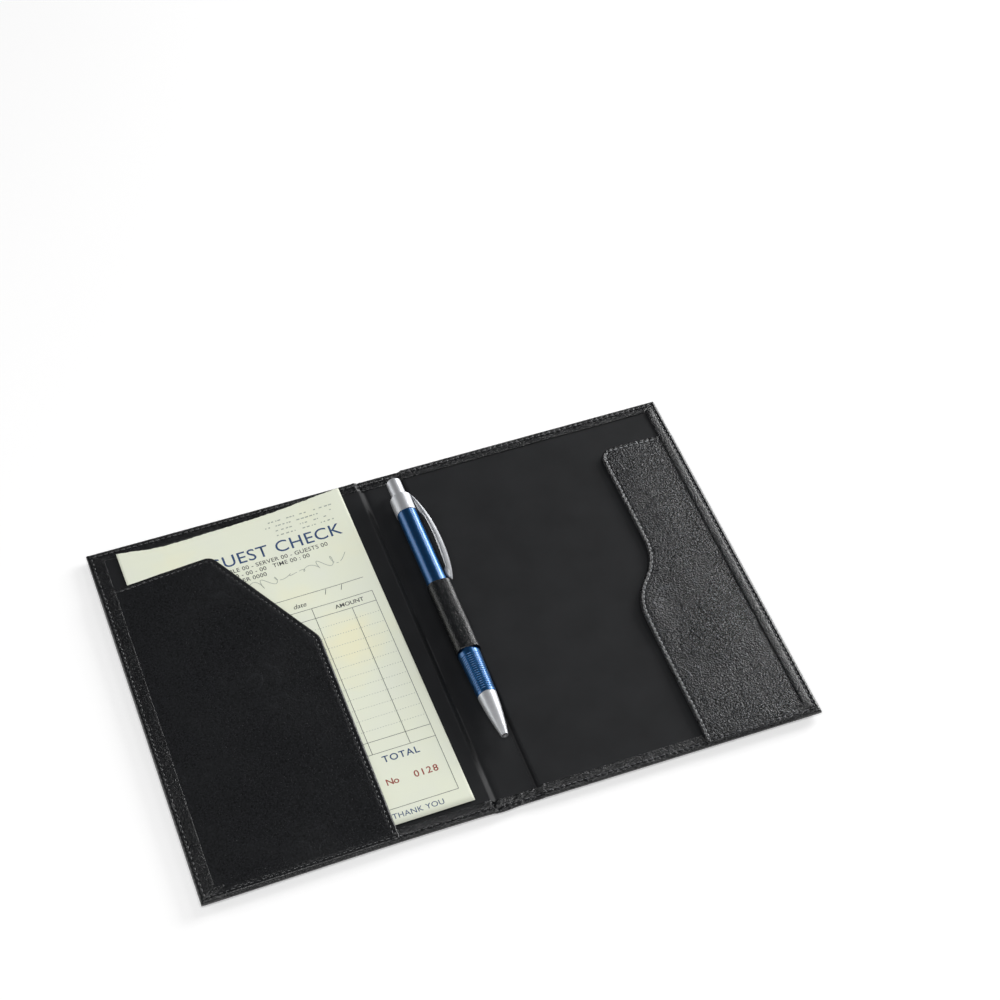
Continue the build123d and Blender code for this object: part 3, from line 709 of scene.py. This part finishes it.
def sewLine(seed, path, height, pitch, under=False, wanted=lambda x, y: True):
    # copies the stitch between the holes, which are one pitch apart along a path of (x, y) in mm
    copies, reach = [], 0.9
    for k in range(round(pathLength(path) / pitch)):
        centre, heading = along(path, (k + 0.5) * pitch)
        if not wanted(*centre):
            continue
        ahead, behind = centre + heading * reach, centre - heading * reach
        slope = (height(*ahead) - height(*behind)) / (2 * reach)
        copy = seed.copy()
        copy.data = seed.data.copy()
        bpy.context.scene.collection.objects.link(copy)
        tilt = Matrix.Rotation(-slope, 4, "Y") @ Matrix.Rotation(pi if under else 0, 4, "X")
        sway = random.uniform(-stitch["sway"], stitch["sway"])
        yaw = Matrix.Rotation(atan2(heading.y, heading.x) + sway, 4, "Z")
        size = Matrix.Diagonal((random.uniform(*stitch["sizes"]), 1, 1, 1))
        lift = -stitch["lift"] if under else stitch["lift"]
        spot = Vector((centre.x, centre.y, height(centre.x, centre.y) + lift)) * mm
        copy.matrix_world = Matrix.Translation(spot) @ yaw @ tilt @ size
        copies.append(copy)
    return copies


def joined(name, copies):
    only(*copies)
    bpy.ops.object.join()
    bpy.ops.object.transform_apply(location=True, rotation=True, scale=True)
    piece = bpy.context.object
    piece.name = piece.data.name = name
    return piece


def shifted(path, distance):  # the path moved sideways, to its left
    moved = []
    for k, point in enumerate(path):
        heading = (path[min(k + 1, len(path) - 1)] - path[max(k - 1, 0)]).normalized()
        moved.append(point + Vector((-heading.y, heading.x)) * distance)
    return moved


def insidePocket(pocket, x, y):
    fore, path = pocket["points"][-1][0], pocket["path"]
    return y < max(p.y for p in path) and abs([p for p in path if p.y <= y][-1].x) < abs(x) < abs(fore)


def upperHeight(x, y):  # what the perimeter seam runs over
    pocket = cardPocket if x > 0 else billPocket
    if abs(x) < cover["window"] and insidePocket(pocket, x, y):
        return max(stripHeight(x, y), pocketHeight(pocket, x, y))
    return stripHeight(x, y)


def makeStitches():
    random.seed(5)
    seed = oneStitch()
    for side, word in sideNames.items():
        copies = []
        for under, height in ((False, upperHeight), (True, undersideHeight)):
            fore = [Vector((side * endRun, -foreRun)), Vector((side * endRun, foreRun))]
            copies += sewLine(seed, fore, height, seamPitch(foreRun), under)
            for y in (-foreRun, foreRun):
                across = [Vector((-endRun, y)), Vector((endRun, y))]
                copies += sewLine(seed, across, height, seamPitch(endRun), under, lambda x, y: x * side > 0)
        piece = joined(word + "CoverStitches", copies)
        if side > 0:  # its lighter thread is painted sheen
            paint(piece, paintedSheenThread)
        drawCorner(piece)
        bendWith(piece, side)
    for pocket in (billPocket, cardPocket):
        line = shifted(pocket["path"], pocket["seam"] * (1 if pocket is billPocket else -1))
        pitch = pocket["pitch"] * pathLength(line) / pathLength(pocket["path"])
        copies = sewLine(seed, line, lambda x, y: pocketHeight(pocket, x, y), pitch,
                         wanted=lambda x, y: y > pocketBottom + 3.6 and abs(x) < cover["window"] - 1)
        piece = joined(pocket["name"].replace("Leather", "Stitches"), copies)
        if pocket is cardPocket:  # its pale thread is a painted highlight
            paint(piece, paintedGlintThread)
        drawCorner(piece)
        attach(piece, pocket["body"])
    bpy.data.objects.remove(seed)


makeStitches()
print("stitches sewn")


# bill: a thin curled form with a torn top edge and a generic print
bill = {
    "width": 99.5, "length": 171.0, "centre": (-66.9, 2.3), "turn": radians(0.76),
    "base": 3.52, "thickness": 0.12, "wave": 0.1,
    "lift": 1.2, "edgeLift": 0.35,  # its head curls up, and so does its edge beside the pocket's mouth
    "straight": 60.0, "sag": 0.9, "dip": 3.1, "tear": 0.28,  # the head was torn off in a shallow curve
}


def billSpot(x, y):  # from the slip's own middle to the part's frame
    c, s = cos(bill["turn"]), sin(bill["turn"])
    return bill["centre"][0] + x * c - y * s, bill["centre"][1] + x * s + y * c


def billHeight(x, y):  # x and y from the slip's middle
    height = bill["base"] + bill["wave"] * ripple(x, y, 30, 11)
    height += bill["lift"] * ease(15, 95, y) * ease(-10, 60, x + 0.35 * (y - 85))
    return height + bill["edgeLift"] * ease(30, 49, x) * ease(-85, 20, y)


def makeBill():
    halfWidth, halfLength = bill["width"] / 2, bill["length"] / 2
    columns = ticks(-halfWidth, (halfWidth, 1.05))
    rows = ticks(-halfLength, (halfLength - 3, 3.0), (halfLength, 1.0))
    rng = random.Random(4)
    tear = {x: rng.uniform(-1, 0.2) * bill["tear"] for x in columns}

    def spot(x, y):
        if y > halfLength - 0.1:  # the frayed last row
            y += tear[x]
        dip = bill["sag"] * bell(x + 30, 26) + bill["dip"] * ease(-56, -28, x) * ease(62, 8, x)
        y -= dip * max(y - bill["straight"], 0) / (halfLength - bill["straight"])
        return (*billSpot(x, y), billHeight(x, y))

    slip = gridSheet("bill", columns, rows, spot)
    thicken(slip, bill["thickness"])
    paint(slip, formPaper)
    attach(slip, "bill")
    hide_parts("bill_slip")


makeBill()


form = {  # places from the slip's middle and widths of lines, in mm
    "tableLeft": -44, "left": 18.9, "middle": 34.9, "right": 45.5,
    "top": 27.3, "header": 21.8, "rowStep": 5.6, "rowsEnd": -45.2, "totalLine": -51.2, "foot": -78.2,
    "line": 0.22, "barStep": 4, "inkLift": 0.035, "capitals": 0.7,  # a capital's share of the font's size
    "dot": 0.28, "dotLength": 0.4, "dotStep": 1.15,
    "tillLeft": 12, "tillRight": 43, "tillTop": 77.5, "tillStep": 2.6, "tillLine": 0.55,
    "pencil": 0.26, "pencilPoints": 120,
}


def flatBars(bars):  # thin bars on the slip, each (x, y) to (x, y) with its width
    corners, faces = [], []
    for ax, ay, bx, by, width in bars:
        run = hypot(bx - ax, by - ay)
        sx, sy = -(by - ay) / run * width / 2, (bx - ax) / run * width / 2
        parts = max(1, round(run / form["barStep"]))
        for k in range(parts + 1):
            x, y = ax + (bx - ax) * k / parts, ay + (by - ay) * k / parts
            corners += [(x - sx, y - sy), (x + sx, y + sy)]
            if k:
                last = len(corners)
                faces.append((last - 4, last - 2, last - 1, last - 3))
    return corners, faces


def printPiece(name, material, bars=(), words=()):
    corners, faces = flatBars(bars)
    mesh = bpy.data.meshes.new(name)
    mesh.from_pydata([(x, y, 0) for x, y in corners], [], faces)
    piece = bpy.data.objects.new(name, mesh)
    bpy.context.scene.collection.objects.link(piece)
    parts = [piece]
    for text, side, x, y, size, spread, slant, bold in words:
        bpy.ops.object.select_all(action="DESELECT")
        bpy.ops.object.text_add()
        word = bpy.context.object
        word.data.body = text
        word.data.size = size / form["capitals"]
        word.data.shear = slant
        word.data.space_character = spread
        word.data.align_x = side
        word.data.resolution_u = 4
        word.data.offset = bold
        word.location = (x, y, 0)
        bpy.ops.object.convert(target="MESH")
        bpy.ops.object.transform_apply(location=True)
        parts.append(bpy.context.object)
    only(*parts)
    if len(parts) > 1:
        bpy.ops.object.join()
    piece = bpy.context.object
    piece.name = piece.data.name = name
    for point in piece.data.vertices:
        x, y = point.co.x, point.co.y
        point.co = Vector((*billSpot(x, y), billHeight(x, y) + form["inkLift"])) * mm
    paint(piece, material)
    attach(piece, "bill")


def printBill():
    tableLeft, right, top, foot, line = (form[key] for key in ("tableLeft", "right", "top", "foot", "line"))
    across = [form[key] for key in ("top", "header", "foot", "rowsEnd", "totalLine")]
    bars = [(tableLeft, y, right, y, line) for y in across]
    bars += [(x, high, x, low, line) for x, high, low in (
        (tableLeft, top, foot), (form["left"], top, form["totalLine"]),
        (form["middle"], form["header"], form["totalLine"]), (right, top, foot))]
    bars.append((-10, 35.3, 44.3, 35.3, line))
    # each word: (text, aligned, x, y, its capitals' height, letter spacing, slant, boldness)
    words = [("AMOUNT", "CENTER", 34.6, 23.6, 2.0, 1, 0, 0.03), ("QTY", "CENTER", -40, 23.6, 2.0, 1, 0, 0.02),
             ("ITEM", "CENTER", -12, 23.6, 2.0, 1, 0, 0.02),
             ("date", "RIGHT", 17.5, 29.4, 2.3, 1, 0.25, 0.01), ("/", "CENTER", 27, 32.4, 2.6, 1, 0.1, 0),
             ("/", "CENTER", 34, 32.4, 2.6, 1, 0.1, 0),
             ("TABLE 00 - SERVER 00 - GUESTS 00", "RIGHT", 36, 56.9, 2.1, 1.05, 0, 0.015),
             ("DATE 00 - 00 - 00   TIME 00 : 00", "RIGHT", 27, 53.8, 2.1, 1.05, 0, 0.015),
             ("ORDER 0000", "RIGHT", 7, 50.7, 2.1, 1.05, 0, 0.015)]
    printPiece("printForm", blackInk, bars, words)
    dots, y = [], form["header"] - form["rowStep"]
    while y > form["rowsEnd"] + 1:
        x = tableLeft + 1
        while x < right - 0.5:
            dots.append((x, y, x + form["dotLength"], y, form["dot"]))
            x += form["dotStep"]
        y -= form["rowStep"]
    rng = random.Random(11)
    for row in range(4):  # faint marks of a till printer
        x, y = form["tillLeft"] + rng.uniform(0, 4), form["tillTop"] - row * form["tillStep"]
        while x < form["tillRight"]:
            run = rng.uniform(0.4, 1.5)
            if rng.random() < 0.72:
                dots.append((x, y, x + run, y + 0.05, form["tillLine"]))
            x += run + rng.uniform(0.35, 1.1)
    printPiece("printRows", greyInk, dots)
    points = []
    for k in range(form["pencilPoints"]):  # a scribble that says nothing
        t = k / (form["pencilPoints"] - 1)
        points.append((-6 + 46 * t + 1.6 * sin(t * 46), 46.4 + 2.5 * t + (1.5 + sin(t * 9)) * sin(t * 58)))
    scrawl = [(*start, *end, form["pencil"]) for start, end in zip(points, points[1:]) if rng.random() < 0.93]
    printPiece("pencilNote", greyInk, scrawl)
    printPiece("printHeading", navyInk, words=[("GUEST CHECK", "RIGHT", 43.9, 60.8, 6.1, 1.05, 0, 0.016),
                                               ("TOTAL", "CENTER", 29.5, -56.4, 3.1, 1.15, 0, 0.05),
                                               ("THANK YOU", "CENTER", 27.5, -82.9, 2.5, 1.05, 0, 0.0)])
    printPiece("stampedNumber", redInk, words=[("No", "CENTER", 22.2, -67.2, 3.0, 0.9, 0, 0.04),
                                               ("0128", "CENTER", 36.3, -67.2, 3.1, 1.2, 0, 0.04)])


printBill()
print("bill printed")


# pen loop: a strap that lies flat on the spine and closes round the pen
strap = {
    "centre": (corner("pen_loop", 0)[0] + 5.4, 7.42), "radius": 5.13, "thickness": 0.5,
    "low": corner("pen_loop", 0)[1], "high": corner("pen_loop", 1)[1], "tab": 8.9,  # where its tab ends
    "sweep": 318, "square": 3.2,  # how far it goes round the pen, in degrees, and how square its section is
    "bead": 0.07, "wrinkle": 0.05, "wave": 0.16,  # of its cut edges and its face
}


def makeLoop():
    cx, cz = strap["centre"]
    r, foot = strap["radius"], cz - strap["radius"]
    tabRun = strap["tab"] - cx
    length = tabRun + r * radians(strap["sweep"])
    columns = ticks(0, (length, 0.9))
    rows = ticks(strap["low"], (strap["low"] + 0.8, 0.4), (strap["high"] - 0.8, 1.2), (strap["high"], 0.4))

    def spot(s, y):
        rim = bell(y - strap["low"], 1.2) + bell(y - strap["high"], 1.2)
        swell = strap["wrinkle"] * (ripple(s, y, 5, 12) + ripple(s, y, 1.6, 13)) + strap["bead"] * rim
        wave = strap["wave"] * ripple(s, y, 6, 14) * rim
        if s < tabRun:
            return cx + tabRun - s, y + wave, foot
        angle = (s - tabRun) / r
        above = max(0, -cos(angle))  # over the pen it is drawn flat, with a shoulder at each side
        squared = (abs(sin(angle)) ** strap["square"] + above ** strap["square"]) ** (-1 / strap["square"])
        reach = r * (squared if above else 1) + swell * ease(0, 1.2, angle)
        return cx - reach * sin(angle), y + wave, cz - reach * cos(angle)

    loop = gridSheet("penLoopLeather", columns, rows, spot)
    thicken(loop, strap["thickness"])
    paint(loop, loopLeather)
    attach(loop, "pen_loop")
    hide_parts("pen_loop")
    flatLength = pathLength([Vector(spot(s, 0)) for s in columns])


makeLoop()
print("pen loop made")


# clip: a pressed arm with a rib along it, a wide heel beside the cap and a ball on the barrel
clip = {
    "axis": (4.5, 7.42), "roll": radians(16), "width": 1.72,
    "sharp": radians(38),  # pressed edges above this angle stay crisp
    # y, inner reach, outer reach, share of the width, the rib's distance from the outer edge
    "arm": [(69.9, 3.9, 4.3, 0.7, 0.15), (69.3, 4.1, 4.95, 0.85, 0.3), (68.2, 4.3, 5.45, 0.95, 0.35),
            (67.0, 4.55, 5.85, 1, 0.4), (66.4, 4.98, 6.05, 1, 0.42), (64.5, 5.02, 6.6, 1, 0.5),
            (62.0, 5.02, 7.2, 1, 0.6), (60.0, 5.05, 7.62, 1, 0.68), (58.6, 5.45, 7.9, 1, 0.75),
            (57.2, 6.0, 8.12, 1, 0.8), (55.5, 6.35, 8.4, 1, 0.86), (52.0, 6.6, 8.8, 1, 0.98),
            (48.0, 6.75, 9.1, 1, 1.1), (43.5, 6.78, 9.24, 1, 1.2), (39.0, 6.65, 9.22, 1, 1.32),
            (35.0, 6.42, 9.05, 1, 1.45), (31.5, 6.2, 8.75, 0.98, 1.5), (28.5, 6.05, 8.35, 0.92, 1.45),
            (25.5, 5.9, 7.85, 0.8, 1.3), (23.0, 5.85, 7.3, 0.62, 1.0), (21.2, 5.9, 6.8, 0.42, 0.6),
            (20.4, 6.05, 6.5, 0.25, 0.3)],
    # round the section: where across the arm (0 the inner edge, 1 the rib, 2 the outer edge), and its height
    "section": [(0, 0), (0, 0.6), (0.06, 0.92), (0.3, 0.82), (0.66, 0.66), (0.78, 0.62), (0.9, 0.9), (1, 1),
                (1.15, 0.95), (1.5, 0.88), (1.85, 0.72), (2, 0.3), (2, 0)],
    "ball": (5.95, 24.6), "ballSize": (1.32, 3.3, 1.45), "ballPoint": 0.3,
}


def clipSpot(reach, y, height):  # reach out from the pen's axis, height across the clip
    c, s = cos(clip["roll"]), sin(clip["roll"])
    return clip["axis"][0] + reach * c - height * s, y, clip["axis"][1] + reach * s + height * c


def makeClip():
    section = clip["section"] + [(a, -h) for a, h in clip["section"][-2::-1]]
    stations = []
    for before, after in zip(clip["arm"], clip["arm"][1:]):
        stations += [[a + (b - a) * share for a, b in zip(before, after)] for share in (0, 0.5)]
    stations.append(clip["arm"][-1])

    def spot(point, station):
        (a, height), (y, inner, outer, share, rib) = section[point], station
        rib = outer - rib
        reach = inner + (rib - inner) * a if a < 1 else rib + (outer - rib) * (a - 1)
        return clipSpot(reach, y, height * share * clip["width"])

    arm = gridSheet("penClip", range(len(section)), stations[::-1], spot)
    onAll(bpy.ops.mesh.remove_doubles, threshold=0.005 * mm)
    onAll(bpy.ops.mesh.fill_holes, sides=2 * len(section))
    onAll(bpy.ops.mesh.normals_make_consistent, inside=False)
    bpy.ops.object.shade_smooth_by_angle(angle=clip["sharp"])
    bpy.ops.object.select_all(action="DESELECT")
    bpy.ops.mesh.primitive_uv_sphere_add(segments=24, ring_count=16, radius=1)
    ball = bpy.context.object
    (reach, y), (deep, long, wide) = clip["ball"], clip["ballSize"]
    for point in ball.data.vertices:
        a, b, c = point.co
        drawn = 1 - clip["ballPoint"] * b * b  # more pointed towards its ends
        point.co = Vector(clipSpot(reach + a * deep * drawn, y + b * long, c * wide * drawn)) * mm
    bpy.ops.object.shade_smooth()
    only(arm, ball)
    bpy.ops.object.join()
    paint(arm, satinSilver)
    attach(arm, "pen_cap")
    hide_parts("pen_clip")


makeClip()
print("clip made")


studio = {
    "floor": 4.0, "floorDrop": 0.1, "floorTone": "#f0f0f0",  # the sweep's size in m, its drop in mm
    "glow": 0.27, "world": 0.07,  # what the floor adds to its own light, and the room's light
    "lamps": [  # name, place in mm, aim in mm, size in mm, watts
        ("rightPanel", (1150, 560, 380), (0, 0, 0), (800, 360), 14.5),
        ("leftPanel", (-1000, 560, 240), (0, 0, 0), (700, 640), 3.1),
        ("backPanel", (900, 880, 860), (0, 0, 0), (420, 340), 2.9),
        ("frontTop", (-250, -600, 1250), (0, 0, 0), (1000, 800), 12.4),
    ],
}


def makeStudio():
    bpy.ops.object.select_all(action="DESELECT")
    bpy.ops.mesh.primitive_plane_add(size=studio["floor"], location=(0, 0, -studio["floorDrop"] * mm))
    bpy.ops.object.transform_apply(location=True)
    floorPiece = bpy.context.object
    floorPiece.name = "floor"
    material, tree, shader, spot = newMaterial("matt white paper sweep", Roughness=1.0)
    shader.inputs["Base Color"].default_value = tone(studio["floorTone"])
    shader.inputs["Specular IOR Level"].default_value = 0
    path = addNode(tree, "LightPath").outputs
    seen = addNode(tree, "Math", {0: path["Is Camera Ray"], 1: path["Is Glossy Ray"]}, operation="ADD")
    seen = addNode(tree, "Math", {0: seen.outputs[0], 1: path["Is Transmission Ray"]}, operation="ADD",
                   use_clamp=True)
    glow = addNode(tree, "Math", {0: seen.outputs[0], 1: studio["glow"]}, operation="MULTIPLY")
    lit = addNode(tree, "Emission", {"Color": (1, 1, 1, 1), "Strength": glow.outputs[0]})
    both = addNode(tree, "AddShader", {0: shader.outputs[0], 1: lit.outputs[0]})
    tree.links.new(both.outputs[0], tree.nodes["Material Output"].inputs["Surface"])
    paint(floorPiece, material)
    for name, place, aim, size, watts in studio["lamps"]:
        lamp = bpy.data.objects.new(name, bpy.data.lights.new(name, "AREA"))
        bpy.context.scene.collection.objects.link(lamp)
        lamp.data.shape, lamp.data.size, lamp.data.size_y = "RECTANGLE", size[0] * mm, size[1] * mm
        lamp.data.energy = watts
        lamp.location = Vector(place) * mm
        lamp.rotation_euler = (Vector(aim) - Vector(place)).to_track_quat("-Z", "Y").to_euler()
    world = bpy.data.worlds.new("studio")
    bpy.context.scene.world = world
    world.use_nodes = True
    sky = world.node_tree.nodes["Background"]
    path = addNode(world.node_tree, "LightPath").outputs
    seen = addNode(world.node_tree, "Math", {0: path["Is Camera Ray"], 1: path["Is Transmission Ray"]},
                   operation="MAXIMUM")
    level = addNode(world.node_tree, "MapRange", {"Value": seen.outputs[0], "To Min": studio["world"],
                                                  "To Max": 1.0})
    world.node_tree.links.new(level.outputs[0], sky.inputs["Strength"])
    sky.inputs["Color"].default_value = (1, 1, 1, 1)


makeStudio()
bpy.context.scene.view_settings.view_transform = "Standard"
print("studio made")
